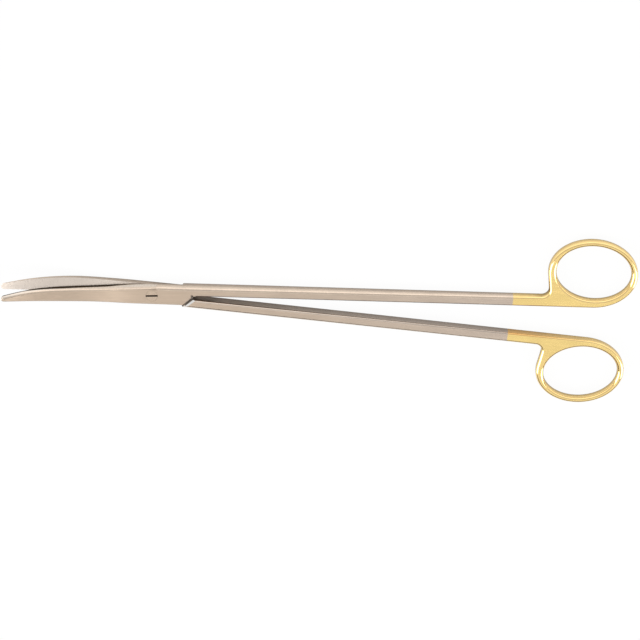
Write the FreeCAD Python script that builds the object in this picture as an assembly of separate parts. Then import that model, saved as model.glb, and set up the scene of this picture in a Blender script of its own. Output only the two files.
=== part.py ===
import FreeCAD, Part
import math
import os
from FreeCAD import Rotation, Vector

# Long curved dissecting scissors with finger rings, in millimetres.
#
# The frame: the origin is on the pivot axis at the underside of the joint, +X runs to
# the finger rings, +Y to the ring of the front half, and +Z up through the joint. The
# scissors lie on the joint and the rings, with the tips of the blades curved upwards.
#
# The two halves are forged to one pattern. Each is modelled in its own frame, closed:
# the pivot at the origin, the shear plane at z = 0, its outer face towards +z and its
# shank on the +y side. The rear half is then turned over about the x axis. Only the
# curve of the blade differs: outwards on the front half, inwards on the rear half.

# Joint
joint_thickness = 5.8           # both halves together where they lap
joint_outer_side = 4.15         # pivot to the side that runs on into the half's own shank
joint_inner_side = 3.85         # pivot to the lap's corner, on the side of the blade's back
lap_length = 12.8               # pivot to the near corner of the lap's slanted end
lap_slant = 4.2                 # how far that end slants along the shank
lap_end_gap = 0.15              # lap end to the other half's shoulder, closed
face_clearance = 0.03           # each half's lap face to the shear plane
joint_flat = 7.0                # pivot to where the outer face leaves the joint's level

# Blades
blade_length = 60.2             # pivot to tip
curve_start = 19.0              # pivot to where the blades begin to curve
tip_rise = 9.0                  # how far the curve lifts the tips
tip_relief = 0.12               # each blade's inner face stands off by this at the tip
tip_radius = 1.25               # blunt tip, seen from above
tip_offset = 0.15               # tip centre to the pivot's centreline, towards the back
tip_edge_angle = 6.0            # cutting edge to the centreline at the tip
tip_thickness = 1.1
back_rounding = 0.4             # outer edge of the back, the tip and the joint
back_straight = 28.0            # pivot to where the back begins to curve in to the tip
back_at_curve = 3.65            # centreline to the back there
edge_at_belly = 1.9             # centreline to the cutting edge, near the tip
edge_at_middle = 2.35           # the same, half way
edge_at_root = 2.75             # the same, where the blade leaves the joint's width
edge_at_joint = 3.75            # the same, beside the pivot
belly_from_tip = 8.7            # tip to the first two of those places
middle_from_tip = 20.7
root_place = 22.0               # pivot to the other two
edge_joint_place = 9.0
bevel_width = 0.9               # ground bevel along the cutting edge, seen from above
edge_land = 0.12                # flat left under the bevel
bevel_run_out = 16.0            # pivot to where the bevel dies out on the shank side

# Carbide inserts
insert_width = 2.0
insert_thickness = 0.9
insert_start = 14.0             # pivot to the insert's inner end

# Shanks
shank_width = 4.45
shank_gap = 0.3                 # between the two shanks, closed
shank_inner_rounding = 0.35     # edges of its inner side, which stays nearly flat
outer_rounding = 1.5            # edges of the shank's outer side, at the joint
thinning_start = 3.2            # lap's near corner to where the shank begins to thin
concave_radius = 2.8            # between the shank's outer side and the ring

# Finger rings
ring_place = 177.65             # pivot to the middle of the ring's outline
hole_length = 30.3              # finger hole, along its long axis
hole_width = 23.6
ring_wall_ends = 2.9            # wall at the ends of the long axis, with the hole in the middle
ring_wall_sides = 2.85          # the same at its sides
hole_shift = 0.4                # hole moved outwards, so that the inner wall is thicker
hole_shift_along = 0.3          # and away from the pivot, so that the neck is thicker
ring_tilt = -7.0                # long axis of the ring's outline to the centreline
hole_tilt = -9.0                # the same for the hole
ring_end_thickness = 4.0        # at the far end of the ring
ring_neck_lean = 7.0            # straight run from the ring down to the shank, to the vertical
ring_rounding = 1.1             # edges round the ring
hole_rounding = 1.1

# Pivot screw
screw_head_diameter = 4.9
screw_head_height = 1.1
screw_shoulder_diameter = 3.6
screw_thread_diameter = 3.0
screw_clearance = 0.03          # shoulder and head in the front half, on the radius
screw_seat_gap = 0.02           # under the head, so that the joint turns freely
screw_slot_width = 0.7 
screw_slot_depth = 0.6
screw_slot_turn = 5.0           # slot to the centreline

# The opening that the scissors lie at
opening = 4.7                   # angle between the two halves

# Room that cutting tools have beyond what they cut
margin = 4.0

# How the edges to round are told from the others
wall_slope = 0.02               # upright part of a wall's normal, at most
face_slope = 0.4                # upright part of an outer or inner face's normal, at least
same_place = 0.01               # an edge this near to a corner of the outline is at it

half_thickness = joint_thickness / 2
belly_place = blade_length - belly_from_tip
middle_place = blade_length - middle_from_tip
shank_start = lap_length + thinning_start
blade_depth = tip_rise + half_thickness + margin
tool_height = 2 * (blade_depth + 2 * margin)
ring_stretch = 1                # place in the outline of the curve from shank to ring
neck_stretch = 3                # place in the outline of the ring's straight neck
ring_semi_long = hole_length / 2 + ring_wall_ends
ring_semi_wide = hole_width / 2 + ring_wall_sides
shank_inner_side = shank_gap / 2
shank_outer_side = shank_inner_side + shank_width


def curve_radius(rise):
    """Radius of the arc that lifts a blade by this rise between curve_start and the tip."""
    run = blade_length - curve_start
    return (run ** 2 + rise ** 2) / (2 * rise)


def curve_height(place, rise):
    """Height of that arc at a distance from the pivot."""
    if place <= curve_start:
        return 0.0
    radius = curve_radius(rise)
    return radius - math.sqrt(radius ** 2 - (place - curve_start) ** 2)


def thickness_at(place):
    """Blade thickness at a distance from the pivot."""
    if place <= joint_flat:
        return half_thickness
    share = (place - joint_flat) / (blade_length - joint_flat)
    return half_thickness + share * (tip_thickness - half_thickness)


def ring_reach(direction):
    """How far the ring's outline reaches from its middle along x (0) or y (90)."""
    turn = math.radians(direction - ring_tilt)
    return math.hypot(ring_semi_long * math.cos(turn), ring_semi_wide * math.sin(turn))


def ring_middle():
    """Middle of the ring's outline, whose inner side is in line with the shank's."""
    return Vector(ring_place, shank_inner_side + ring_reach(90), 0)


def ellipse(centre, semi_long, semi_wide, tilt):
    """Ellipse that lies with its long axis at a tilt."""
    along = Rotation(Vector(0, 0, 1), tilt).multVec(Vector(1, 0, 0))
    across = Vector(-along.y, along.x, 0)
    return Part.Ellipse(centre + along * semi_long, centre + across * semi_wide, centre)


def ring_far_end():
    """Distance from the pivot to the far end of the ring."""
    return ring_place + ring_reach(0)


def ring_angle(direction):
    """Angle on the ring's ellipse where its outline runs in this direction."""
    turn = math.radians(direction - ring_tilt)
    return math.atan2(-math.cos(turn) / ring_semi_long, math.sin(turn) / ring_semi_wide)


def edge_points():
    """Cutting edge from the tip to the shank's side, as points for a smooth curve."""
    lean = math.radians(tip_edge_angle)
    start = tip_centre() + Vector(-math.sin(lean), math.cos(lean), 0) * tip_radius
    return [
        start,
        Vector(-belly_place, edge_at_belly, 0),
        Vector(-middle_place, edge_at_middle, 0),
        Vector(-root_place, edge_at_root, 0),
        Vector(-edge_joint_place, edge_at_joint, 0),
        Vector(joint_flat, joint_outer_side, 0),
    ]


def tip_centre():
    """Centre of the blunt tip's arc."""
    return Vector(tip_radius - blade_length, -tip_offset, 0)


def edge_curve(shift=0.0):
    """The cutting edge as a smooth curve, moved across the blade by a shift."""
    lean = math.radians(tip_edge_angle)
    curve = Part.BSplineCurve()
    curve.interpolate(
        Points=[point + Vector(0, shift, 0) for point in edge_points()],
        InitialTangent=Vector(math.cos(lean), math.sin(lean), 0),
        FinalTangent=outer_side_direction(),
    )
    return curve


def outer_side_direction():
    """Direction of the shank's outer side, from the joint to the ring."""
    rise = shank_outer_side - joint_outer_side
    return Vector(ring_place - joint_flat, rise, 0).normalize()


def back_arc():
    """Arc from the straight back to the tip's arc, tangent to both."""
    start = Vector(-back_straight, -back_at_curve, 0)
    along = (start - lap_corner()).normalize()
    inwards = Vector(along.y, -along.x, 0)
    apart = tip_centre() - start
    depth = apart.dot(inwards) - tip_radius
    radius = (apart.dot(apart) - tip_radius ** 2) / (2 * depth)
    middle = start + inwards * radius
    end = tip_centre() + (tip_centre() - middle).normalize() * tip_radius
    between = (start + end) * 0.5 - middle
    return Part.Arc(start, middle + between.normalize() * radius, end)


def lap_corner():
    """Near corner of the lap's slanted end."""
    return Vector(lap_length, -joint_inner_side, 0)


def outline():
    """Outline of one half, seen from its outer side, in the order that it runs.

    Each stretch comes with the rounding of its edges at its start and at its end.
    """
    back = back_arc()
    back.reverse()
    edge = edge_curve()
    edge.reverse()
    tip = Part.Arc(edge.EndPoint, tip_centre() - Vector(tip_radius, 0, 0), back.StartPoint)

    ring = ellipse(ring_middle(), ring_semi_long, ring_semi_wide, ring_tilt)
    lowest = ring_angle(0)
    far = ring_angle(90)
    neck = ring_angle(270 + ring_neck_lean) + 2 * math.pi
    neck_top = ring.value(neck)
    neck_foot = neck_end(edge.StartPoint, neck_top)
    lap_end = Vector(lap_length + lap_slant, shank_inner_side, 0)

    return [
        (Part.LineSegment(lap_end, ring.value(lowest)), shank_inner_rounding, shank_inner_rounding),
        (Part.ArcOfEllipse(ring, lowest, far), shank_inner_rounding, ring_rounding),
        (Part.ArcOfEllipse(ring, far, neck), ring_rounding, ring_rounding),
        (Part.LineSegment(neck_top, neck_foot), ring_rounding, ring_rounding),
        (Part.LineSegment(neck_foot, edge.StartPoint), ring_rounding, outer_rounding),
        (edge, outer_rounding, back_rounding),
        (tip, back_rounding, back_rounding),
        (back, back_rounding, back_rounding),
        (Part.LineSegment(back.EndPoint, lap_corner()), back_rounding, back_rounding),
        (Part.LineSegment(lap_corner(), lap_end), 0.0, 0.0),
    ]


def neck_end(side_start, neck_top):
    """Where the ring's straight neck meets the shank's outer side."""
    side = outer_side_direction()
    lean = math.radians(ring_neck_lean)
    down = Vector(math.sin(lean), -math.cos(lean), 0)
    apart = neck_top - side_start
    run = (apart.x * side.y - apart.y * side.x) / (down.y * side.x - down.x * side.y)
    return neck_top + down * run


def finger_hole():
    """Outline of the finger hole."""
    centre = ring_middle() + Vector(hole_shift_along, hole_shift, 0)
    return ellipse(centre, hole_length / 2, hole_width / 2, hole_tilt)


def elevation_face(bend):
    """Side view of one half, before the room for the other half is taken out."""
    far = ring_far_end() + margin
    share = (far - shank_start) / (ring_far_end() - shank_start)
    far_half = half_thickness + share * (ring_end_thickness / 2 - half_thickness)
    points = []
    for place in (joint_flat, curve_start, back_straight, middle_place, belly_place, blade_length):
        height = bend * curve_height(place, tip_rise) + thickness_at(place)
        points.append(Vector(-place, 0, height))
    tip = points[-1]
    onwards = (tip - points[-2]).normalize()
    outer = Part.BSplineCurve()
    outer.interpolate(Points=points, InitialTangent=Vector(-1, 0, 0), FinalTangent=onwards)
    beyond = tip + onwards * margin
    corners = [
        beyond,
        Vector(beyond.x, 0, -blade_depth),
        Vector(-joint_flat, 0, -blade_depth),
        Vector(-joint_flat, 0, -half_thickness),
        Vector(shank_start, 0, -half_thickness),
        Vector(far, 0, -far_half),
        Vector(far, 0, far_half),
        Vector(shank_start, 0, half_thickness),
        points[0],
    ]
    edges = [outer.toShape(), Part.LineSegment(tip, beyond).toShape()]
    edges += [Part.LineSegment(a, b).toShape() for a, b in zip(corners, corners[1:])]
    return Part.Face(Part.Wire(edges))


def below_shear(bend, lift):
    """Everything under the shear surface, on the pivot side of the shank's shoulder.

    The shear surface turns about the pivot axis, so that the blades pass each other at
    any opening. It is flat in the joint and curves with the blades from curve_start.
    """
    rise = bend * tip_rise + tip_relief
    reach = blade_length + margin
    level = face_clearance + lift
    radius = curve_radius(abs(rise))
    sign = math.copysign(1, rise)
    angle = math.asin((reach - curve_start) / radius)
    arc = Part.Arc(
        Vector(curve_start, 0, level),
        Vector(curve_start + radius * math.sin(angle / 2), 0,
               level + sign * radius * (1 - math.cos(angle / 2))),
        Vector(reach, 0, level + sign * radius * (1 - math.cos(angle))),
    )
    corners = [
        arc.EndPoint,
        Vector(reach, 0, -tool_height),
        Vector(0, 0, -tool_height),
        Vector(0, 0, level),
        arc.StartPoint,
    ]
    edges = [arc.toShape()]
    edges += [Part.LineSegment(a, b).toShape() for a, b in zip(corners, corners[1:])]
    profile = Part.Face(Part.Wire(edges))
    return profile.revolve(Vector(0, 0, 0), Vector(0, 0, 1), 360).common(pivot_side())


def upright_prism(face):
    """A face of the plan view drawn out to the height that cutting tools have."""
    solid = face.extrude(Vector(0, 0, tool_height))
    solid.translate(Vector(0, 0, -tool_height / 2))
    return solid


def pivot_side():
    """Block that ends at the shoulder, which the other half's lap end faces."""
    slant = lap_slant / (joint_inner_side + shank_inner_side)
    near = lap_length + lap_end_gap
    side = joint_inner_side + margin
    reach = blade_length + 2 * margin
    corners = [
        Vector(near - slant * margin, side, 0),
        Vector(near + slant * (joint_inner_side + side), -side, 0),
        Vector(-reach, -side, 0),
        Vector(-reach, side, 0),
    ]
    block = Part.makePolygon(corners + corners[:1])
    return upright_prism(Part.Face(block))


def bevel_cutter(bend):
    """Wedge that grinds the bevel along the cutting edge and runs out beside the pivot."""
    slope = math.tan(math.radians(tip_edge_angle))
    ahead = Vector(-blade_length - margin, edge_points()[0].y - slope * margin, 0)
    stations = [ahead] + edge_points()[:-1]
    stations.append(Vector(bevel_run_out, joint_outer_side + bevel_width, 0))
    wires = []
    for point in stations:
        place = -point.x
        foot = bend * curve_height(place, tip_rise) + edge_land
        top = bend * curve_height(place, tip_rise) + thickness_at(place)
        low = Vector(point.x, point.y, foot)
        high = Vector(point.x, point.y - bevel_width, top)
        along = (high - low).normalize()
        outside = Vector(point.x, point.y + margin, high.z + margin)
        corners = [low - along * bevel_width, high + along * margin, outside]
        wires.append(Part.makePolygon(corners + corners[:1]))
    return Part.makeLoft(wires, True, False)


def insert_strip(bend):
    """Room of the carbide insert: a layer on the shear surface, along the cutting edge."""
    inner = edge_curve(-insert_width)
    outer = edge_curve(margin)
    strip = Part.Face(Part.Wire([
        inner.toShape(),
        Part.LineSegment(inner.EndPoint, outer.EndPoint).toShape(),
        outer.toShape(),
        Part.LineSegment(outer.StartPoint, inner.StartPoint).toShape(),
    ]))
    reach = blade_length + margin
    side = joint_outer_side + 2 * margin
    stretch = Part.makePlane(reach - insert_start, 2 * side, Vector(-reach, -side, 0))
    layer = below_shear(bend, insert_thickness)
    return upright_prism(strip).common(upright_prism(stretch)).common(layer)


def blank(bend):
    """One half at its full thickness, with its finger hole, before its edges are rounded."""
    wire = Part.Wire([curve.toShape() for curve, start, end in outline()])
    hole = Part.Wire(finger_hole().toShape())
    plan = Part.Face(wire).cut(Part.Face(hole))
    near = -joint_inner_side - margin
    far = shank_inner_side + 2 * ring_reach(90) + margin
    slab = elevation_face(bend).extrude(Vector(0, far - near, 0))
    slab.translate(Vector(0, near, 0))
    solid = upright_prism(plan).common(slab).Solids[0]
    corner = outline()[neck_stretch][0].EndPoint
    upright = [edge for edge in solid.Edges if is_upright_at(edge, corner)]
    return solid.makeFillet(concave_radius, upright)


def is_upright_at(edge, point):
    """Whether an edge stands upright over a point of the outline."""
    first, last = edge.valueAt(edge.FirstParameter), edge.valueAt(edge.LastParameter)
    near_first = math.hypot(first.x - point.x, first.y - point.y) < same_place
    near_last = math.hypot(last.x - point.x, last.y - point.y) < same_place
    return near_first and near_last


def is_rim(solid, edge, side):
    """Whether an edge lies between a wall and the outer (1) or inner (-1) face."""
    place = edge.valueAt((edge.FirstParameter + edge.LastParameter) / 2)
    slopes = []
    for face in solid.ancestorsOfType(edge, Part.Face):
        normal = face.normalAt(*face.Surface.parameter(place))
        slopes.append(normal.z * side)
    return min(abs(slope) for slope in slopes) < wall_slope and max(slopes) > face_slope


def radii_along(stretch, edge):
    """Roundings at the two ends of an edge on a stretch, in the outline's order."""
    curve, start, end = stretch
    if start == end:
        return start, end
    first, last = curve.StartPoint.x, curve.EndPoint.x
    places = sorted([vertex.X for vertex in edge.Vertexes], key=lambda x: abs(x - first))
    near, far = [start + (end - start) * (x - first) / (last - first) for x in places]
    return near, far


def roundings(solid, side):
    """Edges of the outer (1) or inner (-1) face with the roundings at their two ends.

    The inner face has edges to round only along the shank and the ring, because the
    room for the other half takes the rest away. Along a chain of edges the two ends of
    each follow the direction of the chain's first, the one between shank and ring.
    """
    stretches = outline() + [(finger_hole(), hole_rounding, hole_rounding)]
    shapes = [curve.toShape() for curve, start, end in stretches]
    rows = []
    for index, edge in enumerate(solid.Edges, 1):
        place = edge.valueAt((edge.FirstParameter + edge.LastParameter) / 2)
        taken_away = side < 0 and place.x < joint_flat and place.y < joint_inner_side
        if taken_away or not is_rim(solid, edge, side):
            continue
        foot = Part.Vertex(place.x, place.y, 0)
        nearest = min(range(len(shapes)), key=lambda i: shapes[i].distToShape(foot)[0])
        near, far = radii_along(stretches[nearest], edge)
        if near > 0:
            rows.append((nearest != ring_stretch, index, edge, near, far))
    rows.sort(key=lambda row: row[:2])
    first = rows[0][2]
    against = first.valueAt(first.FirstParameter).x > first.valueAt(first.LastParameter).x
    if against:
        return [(index, far, near) for later, index, edge, near, far in rows]
    return [(index, near, far) for later, index, edge, near, far in rows]


def rounded(solid):
    """The blank with the edges of its outline and of its finger hole rounded."""
    document = FreeCAD.newDocument("rounding")
    source = document.addObject("Part::Feature", "blank")
    source.Shape = solid
    fillet = document.addObject("Part::Fillet", "fillet")
    fillet.Base = source
    fillet.Edges = roundings(solid, 1) + roundings(solid, -1)
    document.recompute()
    result = fillet.Shape.copy()
    FreeCAD.closeDocument(document.Name)
    return result


def half(bend):
    """One half and its carbide insert, in the half's own frame."""
    solid = rounded(blank(bend))
    solid = solid.cut(below_shear(bend, 0)).cut(bevel_cutter(bend))
    strip = insert_strip(bend)
    return solid.cut(strip), solid.common(strip)


def disc(diameter, bottom, top):
    """Cylinder on the pivot axis between two levels."""
    return Part.makeCylinder(diameter / 2, top - bottom, Vector(0, 0, bottom))


def pivot_screw():
    """Slotted screw, its head flush in the front half and its end flush under the rear."""
    seat = half_thickness - screw_head_height
    shoulder_end = -face_clearance
    screw = disc(screw_head_diameter, seat, half_thickness)
    screw = screw.fuse(disc(screw_shoulder_diameter, shoulder_end, seat))
    screw = screw.fuse(disc(screw_thread_diameter, -half_thickness, shoulder_end))
    slot = Part.makeBox(2 * screw_head_diameter, screw_slot_width, margin,
                        Vector(-screw_head_diameter, -screw_slot_width / 2,
                               half_thickness - screw_slot_depth))
    slot.rotate(Vector(0, 0, 0), Vector(0, 0, 1), screw_slot_turn)
    return screw.cut(slot).removeSplitter()


def front_screw_room():
    """Counterbore and running bore through the front half."""
    seat = half_thickness - screw_head_height - screw_seat_gap
    head = disc(screw_head_diameter + 2 * screw_clearance, seat, half_thickness + margin)
    return head.fuse(disc(screw_shoulder_diameter + 2 * screw_clearance, -margin, seat))


def placed(shape, turn):
    """A piece of the closed scissors, opened about the pivot and set on its underside."""
    result = shape.copy()
    result.rotate(Vector(0, 0, 0), Vector(0, 0, 1), turn)
    result.translate(Vector(0, 0, half_thickness))
    return result


def turned_over(shape):
    """The same shape turned over about the x axis."""
    result = shape.copy()
    result.rotate(Vector(0, 0, 0), Vector(1, 0, 0), 180)
    return result


def build():
    """Every piece of the scissors by its name, at the opening that they lie at."""
    front_half, front_insert = half(1)
    rear_half, rear_insert = [turned_over(shape) for shape in half(-1)]
    front_half = front_half.cut(front_screw_room())
    rear_half = rear_half.cut(disc(screw_thread_diameter, -half_thickness - margin, margin))
    return {
        "front_half": placed(front_half, opening / 2),
        "front_insert": placed(front_insert, opening / 2),
        "rear_half": placed(rear_half, -opening / 2),
        "rear_insert": placed(rear_insert, -opening / 2),
        "pivot_screw": placed(pivot_screw(), 0),
    }


os.makedirs("parts", exist_ok=True)
for name, shape in build().items():
    solid = shape.Solids[0]
    print(name, "valid", solid.isValid(), "solids", len(shape.Solids), "mm3", round(solid.Volume, 2))
    solid.exportStep("parts/" + name + ".step")
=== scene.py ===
import math

import bmesh
import bpy
import numpy as np
from mathutils import Matrix, Vector
from mathutils.geometry import delaunay_2d_cdt


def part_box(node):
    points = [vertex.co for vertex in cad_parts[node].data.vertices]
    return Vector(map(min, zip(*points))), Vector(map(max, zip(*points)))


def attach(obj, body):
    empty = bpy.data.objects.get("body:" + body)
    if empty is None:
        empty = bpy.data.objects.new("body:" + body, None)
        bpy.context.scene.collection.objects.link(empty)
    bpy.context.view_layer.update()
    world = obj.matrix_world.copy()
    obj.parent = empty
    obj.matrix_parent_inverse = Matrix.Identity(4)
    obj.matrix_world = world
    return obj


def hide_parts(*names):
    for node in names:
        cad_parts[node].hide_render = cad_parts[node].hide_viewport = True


# Long curved dissecting scissors with gold-plated finger rings, lying slightly open.
#
# The two forged halves and their carbide inserts are worked out here as fine meshes, each
# half in its own frame in millimetres: the pivot at the origin, the shear plane at z = 0,
# the outer face towards +z and the shank on the +y side. The rear half is turned over.

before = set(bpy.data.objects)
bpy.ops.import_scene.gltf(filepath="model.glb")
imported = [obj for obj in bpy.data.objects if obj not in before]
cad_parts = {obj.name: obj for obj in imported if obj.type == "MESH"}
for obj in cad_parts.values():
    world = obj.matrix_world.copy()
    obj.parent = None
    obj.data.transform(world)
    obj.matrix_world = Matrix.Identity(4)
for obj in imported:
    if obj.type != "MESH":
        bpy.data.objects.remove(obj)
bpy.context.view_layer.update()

MM = 0.001

# Joint, in millimetres like all the sizes of the halves
JOINT_THICKNESS = 5.8
JOINT_OUTER_SIDE = 4.15
JOINT_INNER_SIDE = 3.85
LAP_LENGTH = 12.25
LAP_SLANT = 4.2
LAP_END_GAP = 0.5
FACE_CLEARANCE = 0.03
JOINT_FLAT = 7.0
OPENING = math.radians(4.7)

# Blades
BLADE_LENGTH = 60.2
CURVE_START = 19.0
TIP_RISE = 9.0
TIP_RELIEF = 0.12
TIP_RADIUS = 1.25
TIP_OFFSET = 0.15
TIP_EDGE_ANGLE = 6.0
TIP_THICKNESS = 1.1
BACK_ROUNDING = 0.4
BACK_STRAIGHT = 28.0
BACK_AT_CURVE = 3.65
BEVEL_WIDTH = 0.9
EDGE_LAND = 0.12
BEVEL_RUN_OUT = 16.0
BEVEL_BLEND = 0.84

# Cutting edge: distances from the pivot, and how far from the centreline it lies there
EDGE_PLACES = (BLADE_LENGTH - 8.7, BLADE_LENGTH - 20.7, 22.0, 9.0)
EDGE_WIDTHS = (1.9, 2.35, 2.75, 3.75)

# Shoulder where the shank takes over from the lap: run and drop of its bevel
SHOULDER_BEVEL = (0.85, 0.75)

# Carbide inserts
INSERT_WIDTH = 2.0
INSERT_THICKNESS = 0.9
INSERT_START = 14.0

# Shanks
SHANK_WIDTH = 4.45
SHANK_GAP = 0.3
SHANK_INNER_ROUNDING = 0.7
OUTER_ROUNDING = 1.5
THINNING_START = 16.0
CONCAVE_RADIUS = 2.8

# Finger rings
RING_PLACE = 177.65
HOLE_LENGTH = 30.3
HOLE_WIDTH = 23.6
RING_WALL_ENDS = 2.9
RING_WALL_SIDES = 2.85
HOLE_SHIFT = (0.3, 0.4)
RING_TILT = -7.0
HOLE_TILT = -9.0
RING_END_THICKNESS = 4.0
RING_NECK_LEAN = 7.0
RING_ROUNDING = 1.1
HOLE_ROUNDING = 1.1

# Roundings this small are circular, and wide ones run down the side by this share more
SHARP_ROUNDING = 0.45
ROUNDING_DEEPER = 0.55

# Gold plating, from the pivot along each shank
GOLD_START = {"front": 146.2, "rear": 145.7}

# Sizes that follow from these
HALF_THICKNESS = JOINT_THICKNESS / 2
HALF_OPENING = OPENING / 2
RING_SEMI_LONG = HOLE_LENGTH / 2 + RING_WALL_ENDS
RING_SEMI_WIDE = HOLE_WIDTH / 2 + RING_WALL_SIDES
SHANK_INNER = SHANK_GAP / 2
SHANK_OUTER = SHANK_INNER + SHANK_WIDTH

# Steps round a rounding and over the bevel, and lengths of the steps along the outline
ROUND_STEPS = 9
BEVEL_STEPS = 3
ARC_STEP = 0.45
LINE_STEP = 1.6
EDGE_STEP = 0.6
SLANT_STEP = 0.8

# Stretches beside the lap's corner and its end where roundings fade out: lengths and steps
FADE_LENGTHS = (1.2, 2.0)
FADE_STEPS = (0.3, 0.4)

# Rims: the flat lip inside a rounding, the share of the bevel that its soft corner takes to
# each side, and the depths where the bevel's foot is looked for
FLAT_LIP = 0.1
BEVEL_SOFT = 0.4
RIM_DEPTHS = np.linspace(0, 1.8, 181)

# Faces between the rims: a grid of points over the blade and the joint, their gap to the
# outline, and the measure on the hole's ellipse, 1 at its outline, that still counts as open
FILL_STEP = 1.0
FILL_X = (4 - BLADE_LENGTH, 24)
FILL_Y = (-3, 4.6)
FILL_GAP = 0.35
FILL_PAST_HOLE = 1.15

# Meshes: distance of doubles, guard against zero, angle of a sharp edge, and the upward share of
# its normal under which a face is upright
MERGE = 0.0008
TINY = 1e-6
SHARP_ANGLE = math.radians(30.0)
UPRIGHT_NORMAL = 0.5

# Blocks that cut the halves: how far they reach past the tip and to the sides, how many rows and
# columns their tops have, and their lower ends, which aren't level with each other
ROOM_PAST_TIP = 4
ROOM_SIDE = 8.0
ROOM_GRID = (170, 17)
ROOM_BOTTOM = -30.0
INSERT_ROOM_PAST_TIP = 3
INSERT_ROOM_OUTSIDE = 4.0
INSERT_ROOM_GRID = (110, 9)
INSERT_ROOM_BOTTOM = -32.0
WEDGE_ENDS = (-2.0, 8.0)

# Bores for the screw, in a half's own frame: the diameters, the height of the head's seat, the
# ends of a cut that goes right through, and the sides of the round cutter
SHOULDER_BORE = 3.66
HEAD_BORE = 4.96
THREAD_BORE = 3.0
HEAD_SEAT = 1.78
BORE_BOTTOM, BORE_TOP = -5.0, 6.0
BORE_SIDES = 96

# Kinds of surface, in the order of a piece's material slots: the outer faces, the rounded sides,
# the bevel along the cutting edge, flat-ground sides, the surface that shears, the bevel on the
# shoulder and the shoulder's wall under it
FACE, SIDE, EDGE, FLAT, SHEAR, SHOULDER, WALL = range(7)


def clamped_curve(xs, ys, first_slope, last_slope):
    """Smooth cubic curve through points, as a function of x, with its end slopes given."""
    xs, ys = np.asarray(xs, float), np.asarray(ys, float)
    gaps = np.diff(xs)
    rise = np.diff(ys) / gaps
    count = len(xs)
    matrix, right = np.eye(count), np.zeros(count)
    right[0], right[-1] = first_slope, last_slope
    for i in range(1, count - 1):
        matrix[i, i - 1:i + 2] = gaps[i], 2 * (gaps[i - 1] + gaps[i]), gaps[i - 1]
        right[i] = 3 * (gaps[i] * rise[i - 1] + gaps[i - 1] * rise[i])
    slopes = np.linalg.solve(matrix, right)

    def value(x):
        x = np.asarray(x, float)
        i = np.clip(np.searchsorted(xs, x) - 1, 0, count - 2)
        t = (x - xs[i]) / gaps[i]
        a, b = ys[i], ys[i + 1]
        p, q = slopes[i] * gaps[i], slopes[i + 1] * gaps[i]
        return a + t * (p + t * (3 * (b - a) - 2 * p - q + t * (2 * (a - b) + p + q)))

    return value


def curve_radius(rise):
    """Radius of the arc that lifts a blade by this rise between CURVE_START and the tip."""
    return ((BLADE_LENGTH - CURVE_START) ** 2 + rise ** 2) / (2 * rise)


def curve_height(place, rise):
    """Height of that arc at a distance from the pivot."""
    radius = curve_radius(rise)
    run = np.clip(np.asarray(place, float) - CURVE_START, 0, radius)
    return radius - np.sqrt(radius ** 2 - run ** 2)


def thickness_at(place):
    """Blade thickness at a distance from the pivot."""
    share = np.clip((np.asarray(place, float) - JOINT_FLAT) / (BLADE_LENGTH - JOINT_FLAT), 0, None)
    return HALF_THICKNESS + share * (TIP_THICKNESS - HALF_THICKNESS)


def shank_half(x):
    """Half the shank's and the ring's thickness."""
    share = np.clip((x - THINNING_START) / (RING_FAR_END - THINNING_START), 0, None)
    return HALF_THICKNESS + share * (RING_END_THICKNESS / 2 - HALF_THICKNESS)


def ring_reach(direction):
    """How far the ring's outline reaches from its middle along x (0) or y (90)."""
    turn = math.radians(direction - RING_TILT)
    return math.hypot(RING_SEMI_LONG * math.cos(turn), RING_SEMI_WIDE * math.sin(turn))


RING_MIDDLE = np.array([RING_PLACE, SHANK_INNER + ring_reach(90)])
RING_FAR_END = RING_PLACE + ring_reach(0)
HOLE_MIDDLE = RING_MIDDLE + HOLE_SHIFT
TIP_CENTRE = np.array([TIP_RADIUS - BLADE_LENGTH, -TIP_OFFSET])
TIP_LEAN = math.radians(TIP_EDGE_ANGLE)
LAP_CORNER = np.array([LAP_LENGTH, -JOINT_INNER_SIDE])
LAP_END = np.array([LAP_LENGTH + LAP_SLANT, SHANK_INNER])
SIDE_SLOPE = (SHANK_OUTER - JOINT_OUTER_SIDE) / (RING_PLACE - JOINT_FLAT)


def unit(angle):
    """Direction at an angle in the plan view."""
    return np.stack([np.cos(angle), np.sin(angle)], axis=-1)


EDGE_TIP = TIP_CENTRE + TIP_RADIUS * unit(TIP_LEAN + math.pi / 2)


def cutting_edge():
    """The cutting edge's distance from the centreline, as a function of x."""
    xs = [EDGE_TIP[0]] + [-place for place in EDGE_PLACES] + [JOINT_FLAT]
    ys = [EDGE_TIP[1]] + list(EDGE_WIDTHS) + [JOINT_OUTER_SIDE]
    return clamped_curve(xs, ys, math.tan(TIP_LEAN), SIDE_SLOPE)


def past_tip(x):
    """The cutting edge carried on straight past the tip."""
    return EDGE_TIP[1] + (x - EDGE_TIP[0]) * math.tan(TIP_LEAN)


def outer_face(bend):
    """Height of a half's outer face, as a function of x."""
    places = [BLADE_LENGTH, EDGE_PLACES[0], EDGE_PLACES[1], BACK_STRAIGHT, CURVE_START, JOINT_FLAT]
    heights = [float(bend * curve_height(p, TIP_RISE) + thickness_at(p)) for p in places]
    slope = (heights[1] - heights[0]) / (places[0] - places[1])
    blade = clamped_curve([-p for p in places], heights, slope, 0)
    return lambda x: np.where(x < -JOINT_FLAT, blade(x), shank_half(x))


def lower_face(bend):
    """Height of the blank's lower face, before the room for the other half is taken out."""
    return lambda x: np.minimum(0, bend * curve_height(-x, TIP_RISE)) - shank_half(x)


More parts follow.
